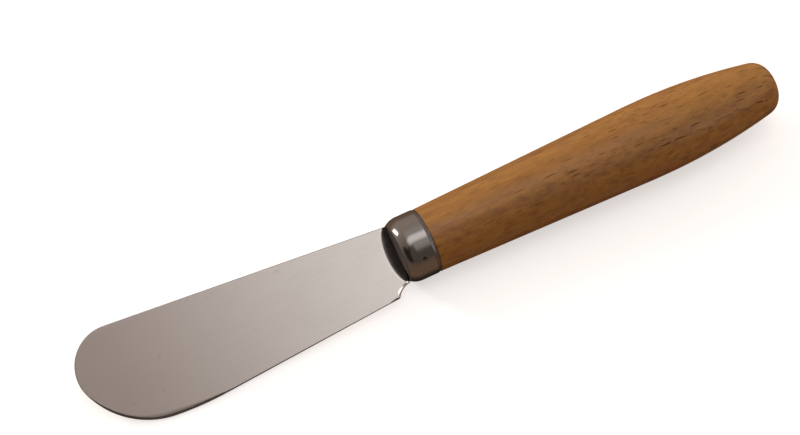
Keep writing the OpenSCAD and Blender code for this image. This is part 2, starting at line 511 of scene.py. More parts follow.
@dataclass(frozen=True)
class LacqueredBeech(Finish):
    """Steamed beech under satin lacquer: rings, fibres and the dark spindles of its rays.

    Colours run from honey in the palest wood over tan and brown to umber in the rays. The wood is
    paler toward the butt. On the side toward the cutting edge it is darker, which is painted shade,
    and blotched where the cut runs along its rays. Each ramp maps a range of a pattern, or of the
    place in the plank, to a range of its effect.
    """

    name: str = "lacquered_beech"
    honey: Color = (0.440, 0.202, 0.037)
    tan: Color = (0.300, 0.123, 0.021)
    brown: Color = (0.175, 0.064, 0.011)
    umber: Color = (0.074, 0.024, 0.003)
    sawn_turn: float = 30.0
    sway: Grain = Grain((48.0, 14.0, 14.0), 1.0)
    sway_mm: Sizes = (0.0, 3.2, 4.0)
    ring_mm: float = 2.6
    ring_bow_mm: float = 55.0
    ring_late: Ramp = (0.35, 0.93, 0.0, 1.0)
    ring_fresh: Ramp = (0.93, 1.0, 1.0, 0.0)
    ring_share: float = 0.25
    band: Grain = Grain((26.0, 1.6, 1.6), 3.0, 0.55)
    banded: Ramp = (0.3, 0.7, 0.0, 0.4)
    mottle: Grain = Grain((4.5, 1.6, 1.6), 4.0, 0.62)
    mottled: Ramp = (0.35, 0.72, 0.0, 0.6)
    paler: Ramp = (40.0, 80.0, 0.0, 0.25)
    # The side toward the cutting edge, and how far it is darkened toward tan as painted shade
    shaded_ray_side: Ramp = (-7.0, 0.0, 1.0, 0.0)
    side_shade_share: float = 0.45
    fibre: Grain = Grain((5.0, 0.16, 0.16), 3.0, 0.6)
    fibred: Ramp = (0.35, 0.75, 0.0, 0.42)
    blotch: Grain = Grain((2.4, 1.5, 1.5), 3.0, 0.6)
    blotched: Ramp = (0.45, 0.70, 0.0, 0.66)
    ray: Spindles = Spindles((4.6, 1.0, 7.0), (2.1, 0.17, 3.2), 0.45, (0.50, 1.0))
    small_ray: Spindles = Spindles((2.8, 0.50, 5.0), (1.3, 0.10, 2.2), 0.5, (0.20, 0.80))
    rays_across: Ramp = (6.0, 9.0, 1.0, 0.35)
    rays_along: Ramp = (0.0, 65.0, 0.35, 1.0)
    dulled: Ramp = (0.3, 0.7, 0.34, 0.46)
    lacquer: Ramp = (0.0, 0.8, 0.24, 0.03)
    shine: Ramp = (0.0, 0.8, 0.35, 0.08)
    pore: Grain = Grain((0.7, 0.3, 0.3), 2.0, 0.6)
    fibre_height: float = 0.3
    pore_height: float = 0.5
    relief_mm: float = 0.035

    def paint(self, bench: Bench) -> None:
        """Wires the wood.

        Args:
            bench: Where the material is made.
        """
        place = self._warped(bench)
        along, across, _ = bench.node("SeparateXYZ", place).outputs
        # side is the side toward the cutting edge: it is darkened toward tan as painted shade, and holds
        # the blotches of the rays cut there
        side = bench.fit(across, *self.shaded_ray_side)
        fibres, pores = bench.noise(place, self.fibre), bench.noise(place, self.pore)
        share = bench.total(
            (self._rings(bench, place), self.ring_share),
            (bench.fit(bench.noise(place, self.band), *self.banded), 1.0),
            (bench.fit(bench.noise(place, self.mottle), *self.mottled), 1.0),
            (bench.fit(along, *self.paler), -1.0),
            (side, self.side_shade_share),
        )
        rays = bench.math("MAXIMUM", self.ray.share(bench, place), self.small_ray.share(bench, place))
        rays = bench.math("MULTIPLY", rays, bench.fit(bench.math("ABSOLUTE", across), *self.rays_across))
        rays = bench.math("MULTIPLY", rays, bench.fit(along, *self.rays_along))
        color = bench.blend(share, self.honey, self.tan)
        color = bench.blend(bench.fit(fibres, *self.fibred), color, self.tan)
        blotches = bench.fit(bench.noise(place, self.blotch), *self.blotched)
        color = bench.blend(bench.math("MULTIPLY", blotches, side), color, self.brown)
        bench.wire(bench.blend(rays, color, self.umber), "Base Color")
        bench.wire(bench.fit(fibres, *self.dulled), "Roughness")
        bench.set(Coat_Roughness=0.30, Coat_IOR=1.5)
        bench.wire(bench.fit(rays, *self.lacquer), "Coat Weight")
        bench.wire(bench.fit(rays, *self.shine), "Specular IOR Level")
        relief = bench.total((fibres, self.fibre_height), (pores, self.pore_height), (rays, -1.0))
        bench.bump(relief, self.relief_mm)

    def _warped(self, bench: Bench) -> Socket:
        """Bends the grain a little, as it runs in the plank.

        Args:
            bench: Where the material is made.

        Returns:
            The place in the plank: along the grain, across the rays, and along the rays.
        """
        place = bench.millimetres(self.sawn_turn)
        sway = bench.noise(place, self.sway).node.outputs["Color"]
        centred = bench.vector("SUBTRACT", sway, (0.5, 0.5, 0.5))
        return bench.vector("ADD", place, bench.vector("MULTIPLY", centred, self.sway_mm))

    def _rings(self, bench: Bench, place: Socket) -> Socket:
        """Gives the growth rings, darker toward the end of each year.

        Args:
            bench: Where the material is made.
            place: The place in the plank.

        Returns:
            A share from 0 in the spring wood to 1 in the late wood.
        """
        _, across, depth = bench.node("SeparateXYZ", place).outputs
        bow = bench.math("DIVIDE", bench.math("MULTIPLY", across, across), 2 * self.ring_bow_mm)
        year = bench.math("FRACT", bench.math("DIVIDE", bench.math("ADD", depth, bow), self.ring_mm))
        return bench.math("MULTIPLY", bench.fit(year, *self.ring_late), bench.fit(year, *self.ring_fresh))


@dataclass(frozen=True)
class CastResin(Finish):
    """Cloudy casting resin."""

    name: str = "cast_resin"
    clear: Color = (0.50, 0.43, 0.30)
    cloudy: Color = (0.60, 0.54, 0.42)
    cloud: Grain = Grain((3.0, 3.0, 3.0), 3.0)
    dulled: Ramp = (0.3, 0.7, 0.35, 0.5)

    def paint(self, bench: Bench) -> None:
        """Wires the resin.

        Args:
            bench: Where the material is made.
        """
        cloud = bench.noise(bench.millimetres(), self.cloud)
        bench.wire(bench.blend(cloud, self.clear, self.cloudy), "Base Color")
        bench.wire(bench.fit(cloud, *self.dulled), "Roughness")


@dataclass(frozen=True)
class PaleTable(Finish):
    """A plain matt light table, almost white, lit a little from below and slightly clouded."""

    name: str = "pale_table"
    color: Color = (0.86, 0.86, 0.86)
    glow: float = 0.52
    cloud: Grain = Grain((40.0, 40.0, 40.0))
    cloud_shade: float = 0.985

    def paint(self, bench: Bench) -> None:
        """Wires the table top.

        Args:
            bench: Where the material is made.
        """
        cloud = bench.noise(bench.millimetres(), self.cloud)
        darker = tuple(self.cloud_shade * c for c in self.color)
        bench.wire(bench.blend(cloud, self.color, darker), "Base Color")
        bench.set(Roughness=0.9, Specular_IOR_Level=0.1)
        bench.set(Emission_Color=(1.0, 1.0, 1.0, 1.0), Emission_Strength=self.glow)


def coat(piece: bpy.types.Object, finishes: tuple[Finish, ...], lay: Matrix) -> None:
    """Gives a piece its materials.

    Args:
        piece: The piece.
        finishes: Its finishes, in the order of its material numbers.
        lay: Where the knife lies.
    """
    for finish in finishes:
        piece.data.materials.append(finish.material(lay))


# Pieces of the knife


class CapPart(Enum):
    """The parts of the ferrule that have a steel of their own, numbered in the order of its materials; the
    darker steels of the mark, the face and the rim are painted shade.
    """

    WALL = 0
    MARK = 1
    FACE = 2
    RIM = 3


@dataclass
class Ferrule:
    """The drawn cap between blade and handle, with its slot for the tang and its stake mark."""

    diameter: float = 16.0
    length: float = 7.7
    wall: float = 0.6
    shoulder_r: float = 5.0
    face_r: float = 6.9
    crease_r: float = 0.35
    rim_r: float = 2.0
    rim_turn: float = 30.0
    slot_gap: float = 0.1
    stake_back: float = 3.45
    stake_r: float = 0.5
    stake_depth: float = 0.3
    stake_angle: float = 116.0
    # Radius round the stake mark within which its painted shade lies
    mark_shade_r: float = 0.54
    face_tilt: float = 0.9
    crease_step: float = 0.05
    shoulder_step: float = 0.12
    wall_step: float = 0.1
    rim_step: float = 0.04
    bore_step: float = 1.0
    inner_shoulder_step: float = 0.5
    around: int = 512
    finish: PolishedSteel = PolishedSteel(
        "ferrule_steel", (0.240, 0.226, 0.216), (0.215, 0.203, 0.193), 0.14, 0.03, 0.0006
    )
    # Dark steel in the stake mark: painted shade in the dimple
    mark_painted_shade: PolishedSteel = PolishedSteel(
        "stake_mark_painted_shade", (0.075, 0.06, 0.053), (0.05, 0.04, 0.035), 0.55, 0.08, 0.004
    )
    # Darker steel on the flat front face, which also keeps less light at a grazing angle: painted shade on
    # the face and on its mirror image in the blade
    face_painted_shade: PolishedSteel = PolishedSteel(
        "ferrule_face_steel_painted_shade", (0.11, 0.10, 0.095), (0.09, 0.08, 0.075), 0.17, 0.03, 0.0006, 0.1, 0.62
    )
    # Duller steel on the rolled rear rim, whose darker colour is painted shade
    dull_rim_painted_shade: PolishedSteel = PolishedSteel(
        "dull_rim_steel_painted_shade", (0.165, 0.155, 0.148), (0.135, 0.125, 0.12), 0.33, 0.06, 0.0012
    )

    @property
    def radius(self) -> float:
        """Outer radius of the round wall."""
        return self.diameter / 2

    @property
    def face_u(self) -> float:
        """Place of the flat front face."""
        return -self.length

    @property
    def shoulder_c(self) -> Vector:
        """Centre of the rolled shoulder, in the plane of the profile."""
        y = self.radius - self.shoulder_r
        return Vector((self.face_u + math.sqrt(self.shoulder_r**2 - (self.face_r - y) ** 2), y))

    @property
    def rim_u(self) -> float:
        """Place where the wall begins to roll in to the rear rim."""
        return -self.rim_r * math.sin(math.radians(self.rim_turn))

    def outside(self) -> Points:
        """Draws the outer profile.

        Returns:
            Points from the flat face over the shoulder to the rear rim, as (u, radius).
        """
        c = self.shoulder_c
        crease_u = self.face_u + self.crease_r
        crease_y = c.y + math.sqrt((self.shoulder_r - self.crease_r) ** 2 - (c.x - crease_u) ** 2)
        turn = math.degrees(math.atan2(crease_y - c.y, crease_u - c.x))
        crease = Arc(Vector((crease_u, crease_y)), self.crease_r, 180.0, turn)
        shoulder = Arc(c, self.shoulder_r, turn, 90.0)
        rim = Arc(Vector((self.rim_u, self.radius - self.rim_r)), self.rim_r, 90.0, 90.0 - self.rim_turn)
        wall = run(shoulder.at(90.0), rim.at(90.0), self.wall_step)
        return chain(
            crease.points(self.crease_step), shoulder.points(self.shoulder_step), wall,
            rim.points(self.rim_step)
        )

    def inside(self) -> Points:
        """Draws the inner profile.

        Returns:
            Points from the rear rim to the edge of the inner face, as (u, radius).
        """
        c = self.shoulder_c
        inner_shoulder_r = self.shoulder_r - self.wall
        turn = math.degrees(math.acos((self.face_u + self.wall - c.x) / inner_shoulder_r))
        shoulder = Arc(c, inner_shoulder_r, 90.0, turn)
        bore = run(Vector((0.0, self.radius - self.wall)), shoulder.at(90.0), self.bore_step)
        return chain(bore, shoulder.points(self.inner_shoulder_step))

    def build(self, tang_w: float, tang_t: float, lay: Matrix) -> bpy.types.Object:
        """Turns the profile, cuts the slot and presses the stake mark.

        Args:
            tang_w: Width of the tang that goes through the slot.
            tang_t: Thickness of that tang.
            lay: Where the knife lies.

        Returns:
            The ferrule.
        """
        half = Vector((tang_w / 2 + self.slot_gap, tang_t / 2 + self.slot_gap))
        angles = [2 * math.pi * i / self.around for i in range(self.around)]
        corner = math.atan2(half.y, half.x)
        for place in (corner, math.pi - corner, math.pi + corner, 2 * math.pi - corner):
            angles[round(place / (2 * math.pi) * self.around)] = place
        rings = [[self._slot_point(self.face_u, a, half) for a in angles]]
        for u, r in [*self.outside(), *self.inside()]:
            rings.append([self._wall_point(u, r, a) for a in angles])
        rings.append([self._slot_point(self.face_u + self.wall, a, half) for a in angles])
        verts = [point for ring in rings for point in ring]
        piece = make_solid("ferrule_cap", verts, ring_faces(len(rings), self.around, True))
        for face in piece.data.polygons:
            face.material_index = self._part(face.center / MM, face.normal).value
        return settle(piece, lay)

    def _part(self, center: Vector, normal: Vector) -> CapPart:
        """Tells which part of the cap a face belongs to.

        Args:
            center: Middle of the face, in millimetres.
            normal: The way it faces.

        Returns:
            The part.
        """
        # The mark, the face and the rim get darker steels, which are painted shade
        turn = math.radians(self.stake_angle)
        mark = Vector((-self.stake_back, self.radius * math.cos(turn), self.radius * math.sin(turn)))
        if (center - mark).length < self.mark_shade_r:
            return CapPart.MARK
        if center.x < self.face_u + self.crease_r / 2 and normal.x < -self.face_tilt:
            return CapPart.FACE
        return CapPart.RIM if center.x > self.rim_u else CapPart.WALL

    def _slot_point(self, u: float, angle: float, half: Vector) -> Vector:
        """Finds where the slot's edge lies in one direction from the axis.

        Args:
            u: Place along the axis.
            angle: The direction, in radians.
            half: Half the slot's width and height.

        Returns:
            The point of the edge.
        """
        across, up = math.cos(angle), math.sin(angle)
        reach = min(half.x / max(abs(across), NEAR_ZERO), half.y / max(abs(up), NEAR_ZERO))
        return Vector((u, across * reach, up * reach))

    def _wall_point(self, u: float, r: float, angle: float) -> Vector:
        """Finds a point of the turned wall, pressed in where the punch struck.

        Args:
            u: Place along the axis.
            r: Radius of the wall there.
            angle: Direction from the axis, in radians.

        Returns:
            The point.
        """
        aside = (angle - math.radians(self.stake_angle) + math.pi) % (2 * math.pi) - math.pi
        far = math.hypot(u + self.stake_back, aside * r)
        if far < self.stake_r:
            r -= max(0.0, math.sqrt(self.stake_r**2 - far**2) - self.stake_r + self.stake_depth)
        return Vector((u, r * math.cos(angle), r * math.sin(angle)))

    def dress(self, piece: bpy.types.Object, lay: Matrix) -> None:
        """Gives the wall its polished steel, and the mark, the front face and the rim darker steels that
        are painted shade.

        Args:
            piece: The ferrule.
            lay: Where the knife lies.
        """
        coat(piece, (self.finish, self.mark_painted_shade, self.face_painted_shade, self.dull_rim_painted_shade), lay)
        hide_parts(Slot.FERRULE.value)
        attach(piece, BODY)


@dataclass
class Blade:
    """The flat round-nosed blade, rounded over at its edges, and its tang."""

    ferrule: Ferrule
    thickness: float = 1.1
    spine_root: float = 6.93
    spine_angle: float = 4.95
    heel_depth: float = 9.69
    heel_gap: float = 3.57
    edge_angle: float = 3.69
    edge_len: float = 45.47
    under_r: float = 76.0
    under_turn: float = 9.33
    front_r: float = 19.65
    top_r: float = 9.43
    choil_r: float = 4.4
    root_depth: float = 7.35
    tang_t: float = 1.3
    tang_w: float = 7.0
    tang_end_w: float = 4.4
    tang_len: float = 56.0
    notch_depth: float = 0.8
    notch_len: float = 3.0
    notch_step: float = 9.0
    notches: int = 3
    slot_depth: float = 0.7
    tang_ramp: float = 0.3
    tang_round: float = 0.04
    dip_angle: float = 6.5
    dip_run: float = 2.65
    dip_half: float = 7.2
    dip_fade: float = 0.25
    dip_step: float = 0.2
    flat_tilt: float = 0.99
    flat_start: float = 1.25
    round_steps: int = 12
    # The band of each rounded edge that gets the duller steel with its painted shade, narrower where the
    # rounding is wide
    dull_shade_steps: int = 8
    choil_dull_shade_steps: int = 4
    dull_shade_from: float = 0.45
    dull_shade_to: float = 1.15
    evened_over: int = 3
    least_mitre: float = 0.5
    chord: float = 0.35
    round_over: dict[Stretch, tuple[float, float]] = field(
        default_factory=lambda: {
            Stretch.CHOIL: (0.90, 1.20),
            Stretch.EDGE: (0.20, 0.32),
            Stretch.UNDER: (0.50, 1.40),
            Stretch.FRONT: (1.40, 0.15),
            Stretch.TOP: (0.15, 0.12),
            Stretch.SPINE: (0.12, 0.12),
        }
    )
    # Duller steel on the rounded edges, far darker than the blade: the darkness is painted shade along the
    # outline, and it takes the key light's glint off the edges
    dull_edge_painted_shade: PolishedSteel = PolishedSteel(
        "dull_edge_steel_painted_shade", (0.19, 0.18, 0.185), (0.16, 0.15, 0.155), 0.42, 0.06, 0.002
    )
    finish: PolishedSteel = PolishedSteel(
        "blade_steel", (0.85, 0.805, 0.82), (0.82, 0.775, 0.787), 0.14, 0.02, 0.0002
    )

    def arcs(self) -> dict[Stretch, Arc]:
        """Works out the round stretches of the outline.

        Returns:
            Each round stretch by its name.
        """
        edge = math.radians(self.edge_angle)
        spine = math.radians(self.spine_angle)
        face_u = self.ferrule.face_u
        edge_end = self.heel() + Vector((-self.edge_len, -self.edge_len * math.tan(edge)))
        under_c = edge_end + self.under_r * Vector((-math.sin(edge), math.cos(edge)))
        under = Arc(under_c, self.under_r, 270 + self.edge_angle, 270 + self.edge_angle - self.under_turn)
        turn = math.radians(under.stop)
        front_c = under_c + (self.under_r - self.front_r) * Vector((math.cos(turn), math.sin(turn)))
        spine_run = Vector((-math.cos(spine), math.sin(spine)))
        spine_in = Vector((-math.sin(spine), -math.cos(spine)))
        line = Vector((face_u, self.spine_root)) + self.top_r * spine_in - front_c
        along = line.dot(spine_run)
        reach = -along + math.sqrt(along**2 - line.length_squared + (self.front_r - self.top_r) ** 2)
        top_c = front_c + line + reach * spine_run
        front_to = math.degrees(math.atan2(top_c.y - front_c.y, top_c.x - front_c.x)) % 360
        half = (self.root() - self.heel()) / 2
        outward = Vector((half.y, -half.x)).normalized()
        choil_c = self.heel() + half + outward * math.sqrt(self.choil_r**2 - half.length_squared)
        from_root, from_heel = self.root() - choil_c, self.heel() - choil_c
        return {
            Stretch.CHOIL: Arc(
                choil_c, self.choil_r, math.degrees(math.atan2(from_root.y, from_root.x)),
                math.degrees(math.atan2(from_heel.y, from_heel.x)),
            ),
            Stretch.UNDER: under,
            Stretch.FRONT: Arc(front_c, self.front_r, under.stop, front_to),
            Stretch.TOP: Arc(top_c, self.top_r, front_to, 90 - self.spine_angle),
        }

    def heel(self) -> Vector:
        """Corner of the heel."""
        return Vector((self.ferrule.face_u - self.heel_gap, -self.heel_depth))

    def root(self) -> Vector:
        """Lower end of the shoulders, against the ferrule."""
        return Vector((self.ferrule.face_u, -self.root_depth))

    def outline(self) -> list[tuple[Vector, float]]:
        """Draws the blade's outline from the root round the tip to the spine's root.

        Returns:
            Each point with the width of its rounding.
        """
        arcs = self.arcs()
        spine_start = arcs[Stretch.TOP].at(arcs[Stretch.TOP].stop)
        edge_end = arcs[Stretch.UNDER].at(arcs[Stretch.UNDER].start)
        spine_end = Vector((self.ferrule.face_u, self.spine_root))
        stretches = {name: arc.points(self.chord) for name, arc in arcs.items()}
        stretches[Stretch.EDGE] = run(self.heel(), edge_end, 2 * self.chord)
        stretches[Stretch.SPINE] = run(spine_start, spine_end, 2 * self.chord)
        rows: list[tuple[Vector, float]] = []
        for name in Stretch:
            points = stretches[name]
            first, last = self.round_over[name]
            for i, point in enumerate(points):
                if i or not rows:
                    rows.append((point, first + (last - first) * i / (len(points) - 1)))
        evened = []
        for i, (point, _) in enumerate(rows):
            near = [width for _, width in rows[max(0, i - self.evened_over):i + self.evened_over + 1]]
            evened.append((point, sum(near) / len(near)))
        return evened

    def tang_side(self) -> Points:
        """Draws the upper side of the tang with its locking notches.

        Returns:
            Points from the ferrule's face to the end of the tang.
        """
        face_u = self.ferrule.face_u
        end_u = face_u + self.tang_len
        slope = (self.tang_end_w - self.tang_w) / 2 / end_u
        thick_u = face_u + self.slot_depth + self.tang_ramp
        side = [Vector((u, self.tang_w / 2)) for u in (face_u, face_u + self.slot_depth, thick_u, 0.0)]
        for i in range(1, self.notches + 1):
            start = i * self.notch_step
            stop = start + self.notch_len
            half = self.tang_w / 2 + slope * start
            side.append(Vector((start, half)))
            side.append(Vector((stop, half - self.notch_depth)))
            side.append(Vector((stop, self.tang_w / 2 + slope * stop)))
        side.append(Vector((end_u, self.tang_end_w / 2)))
        return side

    def build(self, lay: Matrix) -> bpy.types.Object:
        """Builds blade and tang as one solid, from rings that round over from its side to its faces.

        Args:
            lay: Where the knife lies.

        Returns:
            The blade.
        """
        blade = self.outline()
        side = self.tang_side()
        tang = side + [Vector((p.x, -p.y)) for p in reversed(side)]
        points = [point for point, _ in blade] + tang
        widths = [width for _, width in blade] + [self.tang_round] * len(tang)
        thin, thick = self.thickness / 2, self.tang_t / 2
        # The first two points on either side of the tang lie in the slot, where it is still thin
        halves = [thin] * (len(blade) + 2) + [thick] * (len(tang) - 4) + [thin] * 2
        quarter = [math.pi / 2 * i / self.round_steps for i in range(self.round_steps + 1)]
        section = [(1 - math.cos(a), math.sin(a)) for a in quarter]
        section.append((self.flat_start, 1.0))
        rings = [(inset, -rise) for inset, rise in reversed(section[1:])] + section
        ways = self._inward(points)
        verts = []
        for inset, rise in rings:
            for point, way, width, half in zip(points, ways, widths, halves):
                moved = point + way * width * inset
                verts.append(Vector((moved.x, moved.y, half * rise)))
        around = len(points)
        faces = ring_faces(len(rings), around, False)
        first, last = len(blade), around - 1
        for start in (0, (len(rings) - 1) * around):
            faces.append(tuple(start + i for i in [*range(first + 1), last]))
            faces.append(tuple(start + i for i in (first, first + 1, last - 1, last)))
            faces.append(tuple(start + i for i in (first + 1, first + 2, last - 2, last - 1)))
            faces.append(tuple(start + i for i in range(first + 2, last - 1)))
        piece = make_solid("steel_blade", verts, faces)
        self._dull_and_shade_edges(piece, widths, len(rings), first)
        self._dip(piece)
        return settle(piece, lay)

    def _dull_and_shade_edges(self, piece: bpy.types.Object, widths: list[float], rings: int, tang_from: int) -> None:
        """Gives the rounded edges a duller steel, whose darker colour is painted shade along the outline,
        in a narrower band where the rounding is wide.

        Args:
            piece: The blade along the knife's own axes.
            widths: The width of the rounding at each point of the outline.
            rings: Number of rings from one face of the blade to the other.
            tang_from: The point of the outline from which the tang begins, which isn't dulled.
        """
        around = len(widths)
        choil = len(self.arcs()[Stretch.CHOIL].points(self.chord)) - 1
        for i, face in enumerate(piece.data.polygons[:(rings - 1) * around]):
            ring, point = divmod(i, around)
            wide = (widths[point] - self.dull_shade_from) / (self.dull_shade_to - self.dull_shade_from)
            band = self.round_steps - min(max(wide, 0.0), 1.0) * (self.round_steps - self.dull_shade_steps)
            if point < choil:
                band = self.choil_dull_shade_steps
            # Material 1 is the duller edge steel with its painted shade
            face.material_index = int(point < tang_from and abs(ring + 1 - rings / 2) < band)

    def _dip(self, piece: bpy.types.Object) -> None:
        """Lets the upper face sink a little toward the cap, in the shape that the photograph shows.

        Args:
            piece: The blade along the knife's own axes.
        """
        work = bmesh.new()
        work.from_mesh(piece.data)
        face_u = self.ferrule.face_u
        columns = round((self.dip_run + self.dip_fade) / self.dip_step) + 2
        rows = round(self.dip_half / self.dip_step) + 1
        for i in range(1, columns + 1):
            cut = Vector((face_u - i * self.dip_step, 0.0, 0.0)) * MM
            parts = [*work.verts, *work.edges, *work.faces]
            bmesh.ops.bisect_plane(
                work, geom=parts, plane_co=cut, plane_no=(1.0, 0.0, 0.0), dist=SAME_POINT_M
            )
        front, back = (face_u - columns * self.dip_step) * MM, face_u * MM
        for i in range(-rows, rows + 1):
            flat = [face for face in work.faces if face.normal.z > self.flat_tilt]
            near = [face for face in flat if front < face.calc_center_median().x < back]
            parts = [*{v for f in near for v in f.verts}, *{e for f in near for e in f.edges}, *near]
            cut = Vector((0.0, i * self.dip_step, 0.0)) * MM
            bmesh.ops.bisect_plane(
                work, geom=parts, plane_co=cut, plane_no=(0.0, 1.0, 0.0), dist=SAME_POINT_M
            )
        for vert in work.verts:
            if vert.co.z > 0:
                share = vert.co.z / MM / (self.thickness / 2)
                away, aside = face_u - vert.co.x / MM, vert.co.y / MM
                vert.co.z -= min(share, 1.0) * self._dip_depth(away, aside) * MM
        work.to_mesh(piece.data)
        work.free()

    def _dip_depth(self, away: float, aside: float) -> float:
        """Gives the depth of the dip, which is shaped like a half lens against the cap.

        Args:
            away: Distance in front of the cap's face.
            aside: Distance from the knife's axis.

        Returns:
            How far the face lies under its plane, in millimetres.
        """
        reach = self.dip_run * math.sqrt(max(0.0, 1 - (aside / self.dip_half) ** 2))
        if away < -self.slot_depth - self.tang_ramp / 2 or reach == 0.0:
            return 0.0
        away = max(away, 0.0)
        fade = min(self.dip_fade, reach)
        fading = min(max(reach + fade - away, 0.0), fade)
        return math.tan(math.radians(self.dip_angle)) * (max(reach - away, 0.0) + fading**2 / fade / 2)

    def _inward(self, points: Points) -> Points:
        """Finds the way into the steel at each point of the outline.

        Args:
            points: The closed outline, which runs clockwise.

        Returns:
            One mitred direction a point.
        """
        ways = []
        for i, point in enumerate(points):
            before = point - points[i - 1]
            after = points[(i + 1) % len(points)] - point
            a = Vector((before.y, -before.x)).normalized()
            b = Vector((after.y, -after.x)).normalized()
            middle = (a + b).normalized()
            ways.append(middle / max(middle.dot(a), self.least_mitre))
        return ways

    def dress(self, piece: bpy.types.Object, lay: Matrix) -> None:
        """Gives the blade its polish, and its edges a duller steel whose darker colour is painted shade.

        Args:
            piece: The blade.
            lay: Where the knife lies.
        """
        coat(piece, (self.finish, self.dull_edge_painted_shade), lay)
        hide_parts(Slot.BLADE.value)
        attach(piece, BODY)


@dataclass
class Handle:
    """The turned handle with its spigot and the blind hole for the tang."""

    ferrule: Ferrule
    length: float = 92.8
    neck_r: float = 7.9
    neck_round: float = 0.2
    belly_r: float = 9.43
    belly_share: float = 0.647
    fore_r: float = 200.0
    flat_r: float = 2.45
    butt_r: float = 4.3
    bore_d: float = 8.0
    bore_depth: float = 54.0
    spigot_len: float = 4.3
    drill_angle: float = 118.0
    neck_step: float = 0.05
    fore_step: float = 1.0
    rear_step: float = 0.8
    butt_step: float = 0.3
    around: int = 224
    finish: LacqueredBeech = LacqueredBeech()

    @property
    def belly_u(self) -> float:
        """Place of the largest radius."""
        return self.belly_share * self.length

    @property
    def fore_c(self) -> Vector:
        """Centre of the curve in front of the belly."""
        return Vector((self.belly_u, self.belly_r - self.fore_r))

    def profile(self) -> Points:
        """Draws the wood from the spigot's front over the grip to the butt, and back up the hole.

        Returns:
            A closed row of points, as (u, radius).
        """
        to_c = Vector((self.belly_u, self.fore_c.y - self.neck_r))
        neck_turn = math.degrees(math.atan2(to_c.y, to_c.x) + math.asin(self.fore_r / to_c.length))
        fore = Arc(self.fore_c, self.fore_r, 90 + neck_turn, 90.0)
        butt_u = self.length - self.butt_r
        fall = self.belly_r - self.flat_r
        away = butt_u - self.belly_u
        rear_r = (away**2 + fall**2 - self.butt_r**2) / (2 * (fall - self.butt_r))
        rear_c = Vector((self.belly_u, self.belly_r - rear_r))
        butt_turn = math.degrees(math.atan2(self.flat_r - rear_c.y, away))
        rear = Arc(rear_c, rear_r, 90.0, butt_turn)
        butt = Arc(Vector((butt_u, self.flat_r)), self.butt_r, butt_turn, 0.0)
        spigot_r = self.ferrule.radius - self.ferrule.wall
        bore_r = self.bore_d / 2
        point = self.bore_depth + bore_r / math.tan(math.radians(self.drill_angle / 2))
        front = Vector((-self.spigot_len, spigot_r))
        neck = Arc(Vector((self.neck_round, self.neck_r - self.neck_round)), self.neck_round, 180.0, 90.0)
        axis_end = Vector((self.length, 0.0))
        hole = [Vector((point, 0.0)), Vector((self.bore_depth, bore_r)), Vector((-self.spigot_len, bore_r))]
        taper = run(neck.at(neck.stop), fore.at(fore.start), self.fore_step)
        grip = chain(
            neck.points(self.neck_step), taper, fore.points(self.fore_step),
            rear.points(self.rear_step), butt.points(self.butt_step)
        )
        return [front, Vector((0.0, spigot_r)), *grip, axis_end, *hole]

    def build(self, lay: Matrix) -> bpy.types.Object:
        """Turns the profile.

        Args:
            lay: Where the knife lies.

        Returns:
            The handle.
        """
        verts: Points = []
        faces: Faces = []
        rings: list[list[int]] = []
        for u, r in self.profile():
            start = len(verts)
            if r == 0.0:
                verts.append(Vector((u, 0.0, 0.0)))
                rings.append([start])
                continue
            turns = [2 * math.pi * i / self.around for i in range(self.around)]
            verts.extend(Vector((u, r * math.cos(a), r * math.sin(a))) for a in turns)
            rings.append(list(range(start, start + self.around)))
        for here, there in zip(rings, [*rings[1:], rings[0]]):
            if len(here) == 1 and len(there) == 1:
                continue
            for j in range(self.around):
                k = (j + 1) % self.around
                corners = [here[j % len(here)], here[k % len(here)]]
                corners += [there[k % len(there)], there[j % len(there)]]
                faces.append(tuple(dict.fromkeys(corners)))
        return settle(make_solid("beech_handle", verts, faces), lay)

    def dress(self, piece: bpy.types.Object, lay: Matrix) -> None:
        """Gives the handle its lacquered wood.

        Args:
            piece: The handle.
            lay: Where the knife lies.
        """
        coat(piece, (self.finish,), lay)
        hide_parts(Slot.HANDLE.value)
        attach(piece, BODY)


@dataclass
class TangResin:
    """The resin round the tang, which keeps its own solid."""

    finish: CastResin = CastResin()

    def dress(self, lay: Matrix) -> None:
        """Gives the resin's own node its finish.

        Args:
            lay: Where the knife lies.
        """
        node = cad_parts[Slot.TANG_RESIN.value]
        node.data.materials.clear()
        coat(node, (self.finish,), lay)


